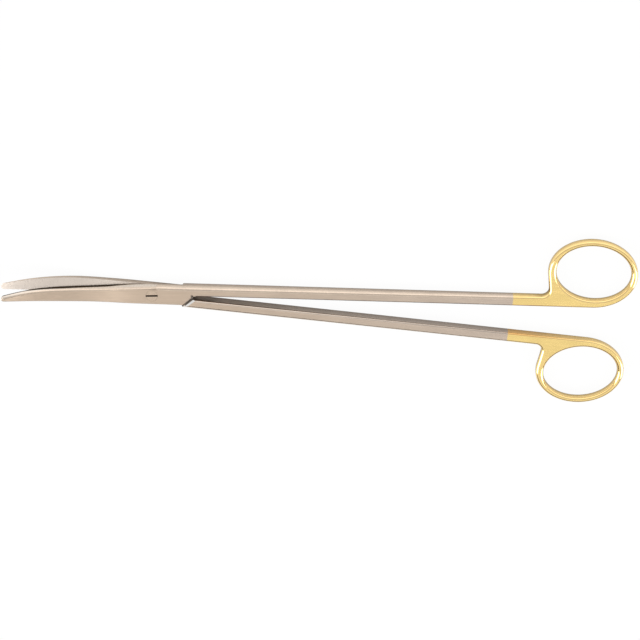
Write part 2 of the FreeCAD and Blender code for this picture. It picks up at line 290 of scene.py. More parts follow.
def bevel_face(bend):
    """Height of the plane that grinds the bevel along the cutting edge, at x and y."""
    edge = cutting_edge()
    last = -EDGE_PLACES[-1]
    run_out = (JOINT_OUTER_SIDE + BEVEL_WIDTH - EDGE_WIDTHS[-1]) / (BEVEL_RUN_OUT - last)

    def value(x, y):
        behind = EDGE_WIDTHS[-1] + (x - last) * run_out
        foot = np.where(x < EDGE_TIP[0], past_tip(x), np.where(x < last, edge(x), behind))
        low = bend * curve_height(-x, TIP_RISE) + EDGE_LAND
        rise = thickness_at(-x) - EDGE_LAND
        return low + rise * (foot - y) / BEVEL_WIDTH

    return value


def line(start, end, step, radii):
    """Stretch of outline: points, outward directions and roundings along a line."""
    run = np.linalg.norm(end - start)
    share = np.linspace(0, 1, max(2, math.ceil(run / step) + 1))
    along = (end - start) / run
    points = start + share[:, None] * (end - start)
    outward = np.tile([along[1], -along[0]], (len(share), 1))
    return points, outward, radii[0] + share * (radii[1] - radii[0])


def arc(centre, radius, first, last, radii):
    """The same along a circle's arc. A clockwise arc is a hollow corner."""
    share = np.linspace(0, 1, max(4, math.ceil(abs(last - first) * radius / ARC_STEP) + 1))
    spokes = unit(first + share * (last - first))
    outward = spokes if last > first else -spokes
    return centre + radius * spokes, outward, radii[0] + share * (radii[1] - radii[0])


def ellipse(centre, semi_long, semi_wide, tilt, first, last, radii):
    """The same along an ellipse with its long axis at a tilt."""
    count = math.ceil(abs(last - first) * semi_long / ARC_STEP) + 1
    share = np.linspace(0, 1, count)
    turn = first + share * (last - first)
    along, across = unit(math.radians(tilt)), unit(math.radians(tilt + 90))
    points = centre + np.outer(semi_long * np.cos(turn), along) + np.outer(semi_wide * np.sin(turn), across)
    outward = np.outer(semi_wide * np.cos(turn), along) + np.outer(semi_long * np.sin(turn), across)
    outward /= np.linalg.norm(outward, axis=1)[:, None]
    return points, outward, radii[0] + share * (radii[1] - radii[0])


def ring_angle(direction):
    """Angle on the ring's ellipse where its outline runs in this direction."""
    turn = math.radians(direction - RING_TILT)
    return math.atan2(-math.cos(turn) / RING_SEMI_LONG, math.sin(turn) / RING_SEMI_WIDE)


def along_edge():
    """The cutting edge's stretch of outline, from the joint to the tip."""
    count = math.ceil((JOINT_FLAT - EDGE_TIP[0]) / EDGE_STEP) + 1
    x = np.linspace(JOINT_FLAT, EDGE_TIP[0], count)
    y = cutting_edge()(x)
    slope = np.gradient(y, x)
    outward = np.stack([-slope, np.ones(count)], axis=1)
    outward /= np.linalg.norm(outward, axis=1)[:, None]
    return np.stack([x, y], axis=1), outward, np.linspace(OUTER_ROUNDING, BACK_ROUNDING, count)


def back_and_tip():
    """The blunt tip, the curved back and the straight back, in the outline's order."""
    start = np.array([-BACK_STRAIGHT, -BACK_AT_CURVE])
    along = (start - LAP_CORNER) / np.linalg.norm(start - LAP_CORNER)
    inwards = np.array([along[1], -along[0]])
    apart = TIP_CENTRE - start
    radius = (apart @ apart - TIP_RADIUS ** 2) / (2 * (apart @ inwards - TIP_RADIUS))
    middle = start + inwards * radius
    first = math.atan2(*(TIP_CENTRE - middle)[::-1]) % (2 * math.pi)
    last = math.atan2(*(start - middle)[::-1]) % (2 * math.pi)
    radii = (BACK_ROUNDING, BACK_ROUNDING)
    fade = LAP_CORNER + along * FADE_LENGTHS[0]
    return [
        arc(TIP_CENTRE, TIP_RADIUS, TIP_LEAN + math.pi / 2, first, radii),
        arc(middle, radius, first, last, radii),
        line(start, fade, LINE_STEP, radii),
        line(fade, LAP_CORNER, FADE_STEPS[0], (BACK_ROUNDING, 0)),
    ]


def ring_and_neck():
    """The ring's outside, its neck and the hollow corner, down to the shank's outer side."""
    lean = math.radians(RING_NECK_LEAN)
    lowest, far = ring_angle(0), ring_angle(90)
    neck = ring_angle(270 + RING_NECK_LEAN) + 2 * math.pi
    near_arc = ellipse(RING_MIDDLE, RING_SEMI_LONG, RING_SEMI_WIDE, RING_TILT, lowest, far,
                       (SHANK_INNER_ROUNDING, RING_ROUNDING))
    radii = (RING_ROUNDING, RING_ROUNDING)
    far_arc = ellipse(RING_MIDDLE, RING_SEMI_LONG, RING_SEMI_WIDE, RING_TILT, far, neck, radii)
    top = far_arc[0][-1]
    down = unit(lean - math.pi / 2)
    side_angle = math.atan(SIDE_SLOPE)
    side_start = np.array([JOINT_FLAT, JOINT_OUTER_SIDE])
    side = unit(side_angle)
    apart = top - side_start
    run = (apart[0] * side[1] - apart[1] * side[0]) / (down[1] * side[0] - down[0] * side[1])
    foot = top + down * run
    setback = CONCAVE_RADIUS * math.tan((math.pi / 2 + side_angle + lean) / 2)
    corner_start = foot - down * setback
    corner_middle = corner_start + CONCAVE_RADIUS * np.array([down[1], -down[0]])
    corner = arc(corner_middle, CONCAVE_RADIUS, lean, side_angle - math.pi / 2, radii)
    return [
        near_arc,
        far_arc,
        line(top, corner_start, LINE_STEP, radii),
        corner,
        line(corner[0][-1], side_start, LINE_STEP, (RING_ROUNDING, OUTER_ROUNDING)),
    ]


def outline():
    """Whole outline of one half, anticlockwise from the lap's end, with its kinds of surface."""
    fade = LAP_END + (FADE_LENGTHS[1], 0)
    lowest = RING_MIDDLE + (0, -ring_reach(90))
    lowest[0] += ring_lowest_shift()
    stretches = [
        line(LAP_END, fade, FADE_STEPS[1], (0, SHANK_INNER_ROUNDING)),
        line(fade, lowest, LINE_STEP, (SHANK_INNER_ROUNDING, SHANK_INNER_ROUNDING)),
    ]
    stretches += ring_and_neck() + [along_edge()] + back_and_tip()
    stretches.append(line(LAP_CORNER, LAP_END, SLANT_STEP, (0, 0)))
    surfaces = [SIDE] * len(stretches)
    surfaces[0] = surfaces[1] = surfaces[-1] = FLAT
    kinds = [np.full(len(stretch[0]), kind) for stretch, kind in zip(stretches, surfaces)]
    return [np.concatenate(rows) for rows in zip(*stretches)] + [np.concatenate(kinds)]


def ring_lowest_shift():
    """How far along x the ring's lowest point lies from its middle."""
    turn = ring_angle(0)
    along, across = unit(math.radians(RING_TILT)), unit(math.radians(RING_TILT + 90))
    return (RING_SEMI_LONG * math.cos(turn) * along + RING_SEMI_WIDE * math.sin(turn) * across)[0]


def hole_outline():
    """Outline of the finger hole, with the outward directions pointing into the hole."""
    points, outward, radii = ellipse(HOLE_MIDDLE, HOLE_LENGTH / 2, HOLE_WIDTH / 2, HOLE_TILT,
                                     2 * math.pi, 0, (HOLE_ROUNDING, HOLE_ROUNDING))
    return points, -outward, radii, np.full(len(points), SIDE)


def rounded_height(face, radius, depth):
    """Height of the outer face at a depth inside the outline, with its rounding.

    A wide rounding runs further down the side than in from it, as on an oval section."""
    deeper = 1 + ROUNDING_DEEPER * np.clip((radius - SHARP_ROUNDING) / SHARP_ROUNDING, 0, 1)
    inside = np.clip(radius - depth, 0, None) / max(radius, TINY)
    return face - radius * deeper * (1 - np.sqrt(np.clip(1 - inside ** 2, 0, None)))


def rim(point, outward, radius, face, bevel):
    """Points from a place on the outline in over the rim to the face, and the bevel's share."""
    xy = point - outward * RIM_DEPTHS[:, None]
    heights = rounded_height(face(xy[:, 0]), radius, RIM_DEPTHS)
    ground = 0.0
    if bevel is not None:
        under = bevel(xy[:, 0], xy[:, 1]) - heights
        if under[0] < 0:
            last = np.argmax(under >= 0)
            ground = np.interp(0, under[last - 1:last + 1], RIM_DEPTHS[last - 1:last + 1])
    if ground > 0:
        soft = BEVEL_SOFT * ground
        depths = np.concatenate([np.linspace(0, ground - soft, BEVEL_STEPS + 1),
                                 np.linspace(ground - soft, ground + soft, ROUND_STEPS + 1),
                                 [max(radius, ground + soft) + FLAT_LIP]])
    else:
        turns = np.linspace(0, math.pi / 2, ROUND_STEPS + 1)
        depths = np.concatenate([np.zeros(BEVEL_STEPS + 1), radius * (1 - np.cos(turns)),
                                 [radius + FLAT_LIP * (radius > 0)]])
    xy = point - outward * depths[:, None]
    z = rounded_height(face(xy[:, 0]), radius, depths)
    if ground > 0:
        z = lower_of(bevel(xy[:, 0], xy[:, 1]), z, min(BEVEL_BLEND, ground))
    return np.column_stack([xy, z]), ground > 0


def lower_of(a, b, blend):
    """The lower of two heights, with a soft corner where they cross."""
    share = np.clip(0.5 + 0.5 * (b - a) / blend, 0, 1)
    return b + (a - b) * share - blend * share * (1 - share)


def loop_columns(points, outward, radii, bend, with_bevel):
    """Every column of a loop: the lower rim, then the upper rim, as points in space."""
    upper, lower = outer_face(bend), lower_face(bend)
    bevel = bevel_face(bend) if with_bevel else None
    columns, ground = [], []
    for point, direction, radius in zip(points, outward, radii):
        near_edge = with_bevel and point[0] < BEVEL_RUN_OUT and point[1] > 0
        top, is_ground = rim(point, direction, radius, upper, bevel if near_edge else None)
        under, _ = rim(point, direction, radius, lambda x: -lower(x), None)
        under[:, 2] *= -1
        columns.append(np.concatenate([under[::-1], top]))
        ground.append(is_ground)
    return np.array(columns), np.array(ground)


class MeshParts:
    """Vertices and faces of a mesh as it is put together."""

    def __init__(self):
        self.points = []
        self.faces = []
        self.zones = []

    def add_points(self, points):
        first = len(self.points)
        self.points.extend([tuple(p) for p in points])
        return first

    def add_faces(self, faces, zone):
        self.faces.extend(faces)
        self.zones.extend([zone] * len(faces))


def add_loop(parts, columns, ground, kinds):
    """Skins a loop of columns and gives the first index and the number of rows."""
    count, rows = columns.shape[:2]
    first = parts.add_points(columns.reshape(-1, 3))
    bevel_row = rows // 2
    for i in range(count):
        j = (i + 1) % count
        for k in range(rows - 1):
            quad = (first + i * rows + k, first + j * rows + k,
                    first + j * rows + k + 1, first + i * rows + k + 1)
            on_bevel = bevel_row <= k < bevel_row + BEVEL_STEPS and (ground[i] or ground[j])
            lip = k == 0 or k == rows - 2
            parts.add_faces([quad], EDGE if on_bevel else FACE if lip else int(kinds[i]))
    return first, rows


def fill_face(parts, outer, hole, height, zone, upward):
    """Fills the face between the outline's and the hole's inner rims."""
    xs, ys = np.arange(*FILL_X, FILL_STEP), np.arange(*FILL_Y, FILL_STEP)
    rims = [[tuple(p) for p in loop] for loop in (outer, hole)]
    kept = [(x, y) for x in xs for y in ys if inside_loop((x, y), outer, FILL_GAP)]
    flat = rims[0] + rims[1] + kept
    edges, start = [], 0
    for ring in rims:
        edges += [(start + i, start + (i + 1) % len(ring)) for i in range(len(ring))]
        start += len(ring)
    points, _, faces, *_ = delaunay_2d_cdt([Vector(p) for p in flat], edges, [], 1, TINY)
    points = np.array([tuple(p) for p in points])
    centres = np.array([points[list(face)].mean(axis=0) for face in faces])
    in_hole = inside_ellipse(centres)
    kept_faces = [tuple(face) for face, gap in zip(faces, in_hole) if not gap]
    first = parts.add_points(np.column_stack([points, height(points[:, 0])]))
    if not upward:
        kept_faces = [face[::-1] for face in kept_faces]
    parts.add_faces([tuple(first + i for i in face) for face in kept_faces], zone)


def inside_ellipse(points):
    """Which plan points lie in the finger hole, out to the end of its rounding."""
    along, across = unit(math.radians(HOLE_TILT)), unit(math.radians(HOLE_TILT + 90))
    apart = points - HOLE_MIDDLE
    u, v = apart @ along, apart @ across
    return (u / (HOLE_LENGTH / 2)) ** 2 + (v / (HOLE_WIDTH / 2)) ** 2 < FILL_PAST_HOLE


def inside_loop(point, loop, gap):
    """Whether a plan point lies inside a loop, at least a gap away from it."""
    x, y = point
    a, b = loop, np.roll(loop, -1, axis=0)
    crossing = (a[:, 1] > y) != (b[:, 1] > y)
    with np.errstate(divide="ignore", invalid="ignore"):
        at = a[:, 0] + (y - a[:, 1]) * (b[:, 0] - a[:, 0]) / (b[:, 1] - a[:, 1])
    inside = np.count_nonzero(crossing & (x < at)) % 2 == 1
    return inside and np.hypot(loop[:, 0] - x, loop[:, 1] - y).min() > gap


def mesh_object(name, points, faces, zones):
    """Object from a list of points in millimetres, with its doubles merged."""
    mesh = bpy.data.meshes.new(name)
    mesh.from_pydata(points, [], faces)
    mesh.polygons.foreach_set("material_index", zones)
    work = bmesh.new()
    work.from_mesh(mesh)
    bmesh.ops.remove_doubles(work, verts=work.verts, dist=MERGE)
    bmesh.ops.dissolve_degenerate(work, dist=MERGE / 2, edges=work.edges)
    bmesh.ops.recalc_face_normals(work, faces=work.faces)
    work.to_mesh(mesh)
    work.free()
    piece = bpy.data.objects.new(name, mesh)
    bpy.context.scene.collection.objects.link(piece)
    return piece


def blank(name, bend):
    """One half at its full thickness, with rounded rims, its finger hole and its bevel."""
    parts = MeshParts()
    *edges, kinds = outline()
    *hole_edges, hole_kinds = hole_outline()
    columns, ground = loop_columns(*edges, bend, True)
    hole, no_ground = loop_columns(*hole_edges, bend, False)
    add_loop(parts, columns, ground, kinds)
    add_loop(parts, hole, no_ground, hole_kinds)
    fill_face(parts, columns[:, -1, :2], hole[:, -1, :2], outer_face(bend), FACE, True)
    fill_face(parts, columns[:, 0, :2], hole[:, 0, :2], lower_face(bend), FACE, False)
    return mesh_object(name, parts.points, parts.faces, parts.zones)


def height_block(name, xs, ys, heights, bottom, zone):
    """Closed block under a grid of heights. xs, ys and heights are rows by columns."""
    rows, columns = heights.shape
    top = np.stack([xs, ys, heights], axis=-1).reshape(-1, 3)
    base = top.copy()
    base[:, 2] = bottom
    count = rows * columns

    def at(i, j):
        return i * columns + j

    faces = []
    for i in range(rows - 1):
        for j in range(columns - 1):
            quad = (at(i, j), at(i + 1, j), at(i + 1, j + 1), at(i, j + 1))
            faces.append(quad)
            faces.append(tuple(count + k for k in quad[::-1]))
    rim_loop = [at(i, 0) for i in range(rows)] + [at(rows - 1, j) for j in range(1, columns)]
    rim_loop += [at(i, columns - 1) for i in range(rows - 2, -1, -1)]
    rim_loop += [at(0, j) for j in range(columns - 2, 0, -1)]
    for a, b in zip(rim_loop, rim_loop[1:] + rim_loop[:1]):
        faces.append((b, a, count + a, count + b))
    points = [tuple(p) for p in np.concatenate([top, base])]
    return mesh_object(name, points, faces, [zone] * len(faces))


def shear_height(x, y, bend, lift):
    """Height of the shear surface, which turns about the pivot axis."""
    rise = bend * TIP_RISE + TIP_RELIEF
    sign = math.copysign(1, rise)
    return FACE_CLEARANCE + lift + sign * curve_height(np.hypot(x, y), abs(rise))


def room_below_shear(bend):
    """Block that takes away all under the shear surface, up to the shank's shoulder."""
    slant = LAP_SLANT / (JOINT_INNER_SIDE + SHANK_INNER)
    ys = np.linspace(-ROOM_SIDE, ROOM_SIDE, ROOM_GRID[1])
    shoulder = LAP_LENGTH + LAP_END_GAP + slant * (JOINT_INNER_SIDE - ys)
    share = np.linspace(0, 1, ROOM_GRID[0])[:, None]
    far = -BLADE_LENGTH - ROOM_PAST_TIP
    xs = far + share * (shoulder - far)
    ys = np.broadcast_to(ys, xs.shape)
    return height_block("room", xs, ys, shear_height(xs, ys, bend, 0), ROOM_BOTTOM, SHEAR)


def shoulder_wedge():
    """Wedge that bevels the edge between the shank's shoulder and its lower face."""
    along = unit(-math.atan2(JOINT_INNER_SIDE + SHANK_INNER, LAP_SLANT))
    into = np.array([-along[1], along[0]])
    start = np.array([LAP_LENGTH + LAP_END_GAP, JOINT_INNER_SIDE])
    run, fall = SHOULDER_BEVEL
    low = fall - HALF_THICKNESS
    section = ((-run, low + fall), (2 * run, low - 2 * fall), (-run, low - 2 * fall))
    points = []
    for place in WEDGE_ENDS:
        points += [(*(start + along * place + into * u), z) for u, z in section]
    faces = [(0, 2, 1), (3, 4, 5), (0, 1, 4, 3), (1, 2, 5, 4), (2, 0, 3, 5)]
    return mesh_object("wedge", points, faces, [SHOULDER] * len(faces))


def insert_room(bend):
    """Block that takes the carbide insert out of a half along the cutting edge."""
    xs = np.linspace(-BLADE_LENGTH - INSERT_ROOM_PAST_TIP, -INSERT_START, INSERT_ROOM_GRID[0])
    foot = np.where(xs < EDGE_TIP[0], past_tip(xs), cutting_edge()(xs))
    across = np.linspace(-INSERT_WIDTH, INSERT_ROOM_OUTSIDE, INSERT_ROOM_GRID[1])
    grid_x = np.repeat(xs[:, None], len(across), axis=1)
    grid_y = foot[:, None] + across[None, :]
    heights = shear_height(grid_x, grid_y, bend, INSERT_THICKNESS)
    return height_block("insert_room", grid_x, grid_y, heights, INSERT_ROOM_BOTTOM, SHEAR)


def combined(name, piece, tool, operation):
    """A new object: the piece less the tool's room, or the part of it inside that room."""
    change = piece.modifiers.new("change", "BOOLEAN")
    change.operation = operation
    change.object = tool
    change.solver = "EXACT"
    graph = bpy.context.evaluated_depsgraph_get()
    mesh = bpy.data.meshes.new_from_object(piece.evaluated_get(graph))
    mesh.name = name
    piece.modifiers.remove(change)
    result = bpy.data.objects.new(name, mesh)
    bpy.context.scene.collection.objects.link(result)
    return result


def set_in_frame(piece, bend):
    """Turns a piece from its half's own frame into the scissors', in metres."""
    turn = Matrix.Rotation(bend * HALF_OPENING, 4, "Z")
    flip = Matrix.Rotation(0 if bend > 0 else math.pi, 4, "X")
    lift = Matrix.Translation((0, 0, HALF_THICKNESS))
    piece.data.transform(Matrix.Scale(MM, 4) @ turn @ lift @ flip)


def smooth(piece):
    """Smooth shading with even normals, and with the edges sharper than an angle kept."""
    piece.data.shade_smooth()
    piece.data.set_sharp_from_angle(angle=SHARP_ANGLE)
    even = piece.modifiers.new("even", "WEIGHTED_NORMAL")
    even.keep_sharp = True
    graph = bpy.context.evaluated_depsgraph_get()
    mesh = bpy.data.meshes.new_from_object(piece.evaluated_get(graph))
    piece.modifiers.remove(even)
    piece.data = mesh


def drop(*pieces):
    """Removes working objects that the scene doesn't show."""
    for piece in pieces:
        bpy.data.objects.remove(piece)


def half_and_insert(side, bend):
    """One forged half and its carbide insert, in the half's own frame."""
    whole = blank(side + "_blank", bend)
    room, strip, wedge = room_below_shear(bend), insert_room(bend), shoulder_wedge()
    lapped = combined(side + "_lapped", whole, room, "DIFFERENCE")
    cut = combined(side + "_cut", lapped, wedge, "DIFFERENCE")
    forged = combined(side + "_forging", cut, strip, "DIFFERENCE")
    insert = combined(side + "_carbide", cut, strip, "INTERSECT")
    mark_wall(forged)
    drop(whole, room, strip, wedge, lapped, cut)
    return forged, insert


def mark_wall(piece):
    """Sets the shoulder's upright wall apart from the shear surface that it stands on, for its finish in
    painted shade.
    """
    for face in piece.data.polygons:
        upright = abs(face.normal.z) < UPRIGHT_NORMAL
        if upright and face.material_index == SHEAR and face.center.x > LAP_LENGTH:
            face.material_index = WALL


def screw_hole(diameter, low, high):
    """Cylinder on the pivot axis, in the half's own frame, to cut a hole with."""
    count = BORE_SIDES
    turns = np.linspace(0, 2 * math.pi, count, endpoint=False)
    ring = unit(turns) * diameter / 2
    points = [(x, y, z) for z in (low, high) for x, y in ring]
    faces = [tuple(range(count))[::-1], tuple(range(count, 2 * count))]
    faces += [(i, (i + 1) % count, count + (i + 1) % count, count + i) for i in range(count)]
    return mesh_object("hole", points, faces, [FLAT] * len(faces))


def with_holes(piece, holes):
    """A piece with holes cut about the pivot axis."""
    for diameter, low, high in holes:
        tool = screw_hole(diameter, low, high)
        cut = combined(piece.name, piece, tool, "DIFFERENCE")
        drop(piece, tool)
        piece = cut
    return piece


def mark_rise(piece, bend):
    """Gives each vertex its height in millimetres above the shear surface, on the blade."""
    points = np.empty(len(piece.data.vertices) * 3)
    piece.data.vertices.foreach_get("co", points)
    x, y, z = points.reshape(-1, 3).T
    rise = piece.data.attributes.new("rise", "FLOAT", "POINT")
    rise.data.foreach_set("value", z - shear_height(x, y, bend, 0))


# Colours of the metals. Some are painted light and shade: the flat steel lit near the joint, the gold of
# the inner flat side shaded before the ring, a near-white highlight on the shoulder's bevel, and near-black
# shade on the shoulder's wall, in the screw's slot and low on the cutting edge, where it also stands for
# the carbide's own darker grey.
STEEL_AT_JOINT = (0.525, 0.415, 0.320)
STEEL_AT_RINGS = (0.550, 0.455, 0.375)
STEEL_POLISHED = (0.73, 0.60, 0.485)
STEEL_FLAT_PAINTED_LIGHT_AT_JOINT = (0.76, 0.64, 0.54)
STEEL_SHADED = (0.55, 0.46, 0.39)
STEEL_SHEAR = (0.63, 0.555, 0.49)
STEEL_GROUND = (0.74, 0.65, 0.56)
STEEL_PAINTED_HIGHLIGHT = (0.97, 0.95, 0.92)
GOLD_SATIN = (0.84, 0.625, 0.245)
GOLD_POLISHED = (0.97, 0.71, 0.31)
GOLD_PAINTED_SHADE = (0.85, 0.52, 0.20)
CARBIDE_AND_PAINTED_SHADE = (0.050, 0.036, 0.025)
CARBIDE_FLAT = (0.60, 0.53, 0.47)
SLOT_PAINTED_SHADE = (0.020, 0.014, 0.009)
WALL_PAINTED_SHADE = (0.05, 0.038, 0.03)


class Finish:
    """The node tree of one metal finish, put together a node at a time."""

    def __init__(self, name):
        self.material = bpy.data.materials.new(name)
        self.material.use_nodes = True
        self.nodes = self.material.node_tree.nodes
        self.shader = self.nodes["Principled BSDF"]
        self.shader.inputs["Metallic"].default_value = 1

    def feed(self, socket, value):
        """Links another node's output to a socket, or sets the socket to a number or colour."""
        if isinstance(value, bpy.types.NodeSocket):
            self.material.node_tree.links.new(value, socket)
        elif isinstance(value, tuple) and len(value) == 3 and len(socket.default_value) == 4:
            socket.default_value = (*value, 1)
        else:
            socket.default_value = value

    def add(self, kind, settings, values):
        """First output of a new node with these settings and with these values at its inputs."""
        node = self.nodes.new("ShaderNode" + kind)
        for name, value in settings.items():
            setattr(node, name, value)
        for key, value in values.items():
            self.feed(node.inputs[key], value)
        return node.outputs[0]

    def math(self, operation, a, b=0.0, c=0.0):
        """Result of a calculation with up to three values."""
        return self.add("Math", {"operation": operation}, {0: a, 1: b, 2: c})

    def step(self, value, low, high, first=0.0, last=1.0):
        """Goes from first to last while a value goes from low to high."""
        return self.add("MapRange", {}, {"Value": value, "From Min": low, "From Max": high,
                                         "To Min": first, "To Max": last})

    def follow(self, noise, first, last):
        """Goes from first to last with a noise, over the range that holds most of it."""
        return self.step(noise, *NOISE_RANGE, first, last)

    def mottle(self, grain, clouds, fine, broad):
        """A level about 1 that varies with a fine noise and a broad one."""
        return self.math("ADD", self.follow(grain, -fine, fine), self.follow(clouds, 1 - broad, 1 + broad))

    def blend(self, share, a, b):
        """Colour between two colours."""
        node = self.nodes.new("ShaderNodeMix")
        node.data_type = "RGBA"
        for name, value in (("Factor", share), ("A", a), ("B", b)):
            socket = next(s for s in node.inputs if s.name == name and s.enabled)
            self.feed(socket, value)
        return next(s for s in node.outputs if s.enabled)

    def place(self, turn):
        """Place on the piece in metres, with x along its half."""
        where = self.nodes.new("ShaderNodeTexCoord").outputs["Object"]
        return self.add("Mapping", {}, {"Vector": where, "Rotation": (0.0, 0.0, -turn)})

    def attribute(self, name):
        """A number that the mesh holds at each vertex."""
        node = self.nodes.new("ShaderNodeAttribute")
        node.attribute_name = name
        return node.outputs["Fac"]

    def split(self, place):
        """The x, y and z of a place."""
        node = self.nodes.new("ShaderNodeSeparateXYZ")
        self.feed(node.inputs[0], place)
        return node.outputs

    def grain(self, place, per_metre, detail=3.0):
        """Noise with this many grains to the metre along x, y and z."""
        stretched = self.add("VectorMath", {"operation": "MULTIPLY"}, {0: place, 1: per_metre})
        return self.add("TexNoise", {}, {"Vector": stretched, "Scale": 1.0, "Detail": detail})

    def shade(self, colour, level):
        """A colour made lighter or darker."""
        node = self.nodes.new("ShaderNodeVectorMath")
        node.operation = "SCALE"
        self.feed(node.inputs[0], colour)
        self.feed(node.inputs["Scale"], level)
        return node.outputs[0]

    def finish(self, colour, roughness, height, depth):
        """Connects the colour, the roughness and a relief of this depth to the shader."""
        self.feed(self.shader.inputs["Base Color"], colour)
        self.feed(self.shader.inputs["Roughness"], roughness)
        relief = self.add("Bump", {}, {"Strength": 1.0, "Distance": depth, "Height": height})
        self.feed(self.shader.inputs["Normal"], relief)
        return self.material


MICRON = 0.001 * MM
NOISE_RANGE = (0.3, 0.7)

# Noises, as grains to the metre along x, y and z
BRUSHING = (45.0, 2400.0, 2400.0)
POLISHING = (900.0, 1500.0, 1500.0)
CLOUDS = (110.0, 260.0, 260.0)
CLOUD_DETAIL = 2.0
GRINDING = (2200.0, 160.0, 160.0)
EDGE_GRINDING = (1400.0, 500.0, 500.0)
TURNING = (5200.0, 900.0, 1.0)
SCREW_CLOUDS = (700.0, 700.0, 700.0)

# Where colours change along a half, in metres, and the ragged start of the gold
STEEL_CHANGE = (0.01, 0.14)
GOLD_CHANGE = (0.150, 0.176)
GOLD_RAGGED = 0.0006
GOLD_BLUR = 0.0002

# Dark band low on the cutting edge's wall, partly the carbide's own darker grey and partly painted shade of
# the gap between the blades: its height above the shear surface and its blurred top in millimetres, and
# where it runs out towards the tip and the joint, in metres
DARK_RISE = 0.7
DARK_BLUR = (0.15, 0.35)
DARK_AT_TIP = (-0.052, -0.036)
DARK_AT_JOINT = (-0.008, -0.018)

# Screw's slot: depths below the head's top, in metres, between which it turns dark with painted shade
SLOT_DEPTHS = (0.00012, 0.00003)

# Plated finishes: the steel's and the gold's colours on the way to the ring, their roughnesses,
# the noise that marks them, and the depth of its relief
PLATED = {
    "face": ((STEEL_AT_JOINT, STEEL_AT_RINGS), (GOLD_SATIN, GOLD_SATIN), (0.32, 0.26),
             BRUSHING, 6 * MICRON),
    "side": ((STEEL_POLISHED, STEEL_POLISHED), (GOLD_POLISHED, GOLD_POLISHED), (0.20, 0.08),
             POLISHING, MICRON),
    # Flat sides: painted light lifts the steel near the joint, and painted shade darkens the gold on the
    # inner flat side before the ring, fading out towards the ring
    "flat": ((STEEL_FLAT_PAINTED_LIGHT_AT_JOINT, STEEL_SHADED), (GOLD_PAINTED_SHADE, GOLD_POLISHED), (0.2, 0.1),
             BRUSHING, 2 * MICRON),
}


def plated(side, kind):
    """Finish of a half: steel from the blade on, gold plated round the finger ring."""
    steel, gold, roughness, marks, relief = PLATED[kind]
    finish = Finish(f"{side}_{kind}")
    place = finish.place(HALF_TURN[side])
    x = finish.split(place)[0]
    grain = finish.grain(place, marks)
    clouds = finish.grain(place, CLOUDS, CLOUD_DETAIL)
    steel_colour = finish.blend(finish.step(x, *STEEL_CHANGE), *steel)
    gold_colour = finish.blend(finish.step(x, *GOLD_CHANGE), *gold)
    ragged = finish.math("MULTIPLY_ADD", clouds, GOLD_RAGGED, x)
    start = GOLD_START[side] * MM + GOLD_RAGGED / 2
    past = finish.step(ragged, start - GOLD_BLUR, start + GOLD_BLUR)
    colour = finish.blend(past, steel_colour, gold_colour)
    level = finish.mottle(grain, clouds, 0.05, 0.04)
    rough = finish.math("ADD", finish.step(past, 0.0, 1.0, *roughness), finish.follow(grain, -0.03, 0.04))
    return finish.finish(finish.shade(colour, level), rough, grain, relief)


def shear_finish(name, side, colour):
    """Flat-ground shear surface, ground across the blade; also the carbide's flat face, and the shoulder's
    wall, whose colour is painted shade.
    """
    finish = Finish(name)
    place = finish.place(HALF_TURN[side])
    grain = finish.grain(place, GRINDING)
    clouds = finish.grain(place, CLOUDS, CLOUD_DETAIL)
    level = finish.mottle(grain, clouds, 0.02, 0.03)
    return finish.finish(finish.shade(colour, level), finish.follow(grain, 0.26, 0.32), grain, MICRON)


def edge_finish(name, side):
    """Ground cutting edge: dark low on its wall, the carbide's own grey deepened into painted shade of the
    gap between the blades, and bright steel above it.
    """
    finish = Finish(name)
    place = finish.place(HALF_TURN[side])
    x = finish.split(place)[0]
    grain = finish.grain(place, EDGE_GRINDING)
    present = finish.math("MULTIPLY", finish.step(x, *DARK_AT_TIP), finish.step(x, *DARK_AT_JOINT))
    reach = finish.math("MULTIPLY", present, DARK_RISE)
    past = finish.math("SUBTRACT", finish.attribute("rise"), reach)
    colour = finish.blend(finish.step(past, *DARK_BLUR), CARBIDE_AND_PAINTED_SHADE, STEEL_GROUND)
    colour = finish.shade(colour, finish.follow(grain, 0.93, 1.07))
    return finish.finish(colour, finish.follow(grain, 0.2, 0.3), grain, MICRON)


def shoulder_finish(name, side):
    """Polished bevel on the shoulder, near white: a painted highlight."""
    finish = Finish(name)
    grain = finish.grain(finish.place(HALF_TURN[side]), POLISHING)
    colour = finish.shade(STEEL_PAINTED_HIGHLIGHT, finish.follow(grain, 0.97, 1.03))
    return finish.finish(colour, finish.follow(grain, 0.1, 0.18), grain, 2 * MICRON)


def screw_finish():
    """Turned screw head, its slot darkened with painted shade."""
    finish = Finish("screw_metal")
    place = finish.place(0.0)
    x, y, z = finish.split(place)
    squares = [finish.math("POWER", way, 2.0) for way in (x, y)]
    radius = finish.math("SQRT", finish.math("ADD", *squares))
    rings = finish.add("CombineXYZ", {}, {"X": radius, "Y": z})
    grain = finish.grain(rings, TURNING)
    clouds = finish.grain(place, SCREW_CLOUDS, CLOUD_DETAIL)
    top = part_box("pivot_screw")[1][2]
    deep, shallow = SLOT_DEPTHS
    in_slot = finish.step(z, top - deep, top - shallow, 1.0, 0.0)
    colour = finish.blend(in_slot, STEEL_AT_JOINT, SLOT_PAINTED_SHADE)
    level = finish.mottle(grain, clouds, 0.06, 0.04)
    return finish.finish(finish.shade(colour, level), finish.follow(grain, 0.24, 0.36), grain, 4 * MICRON)


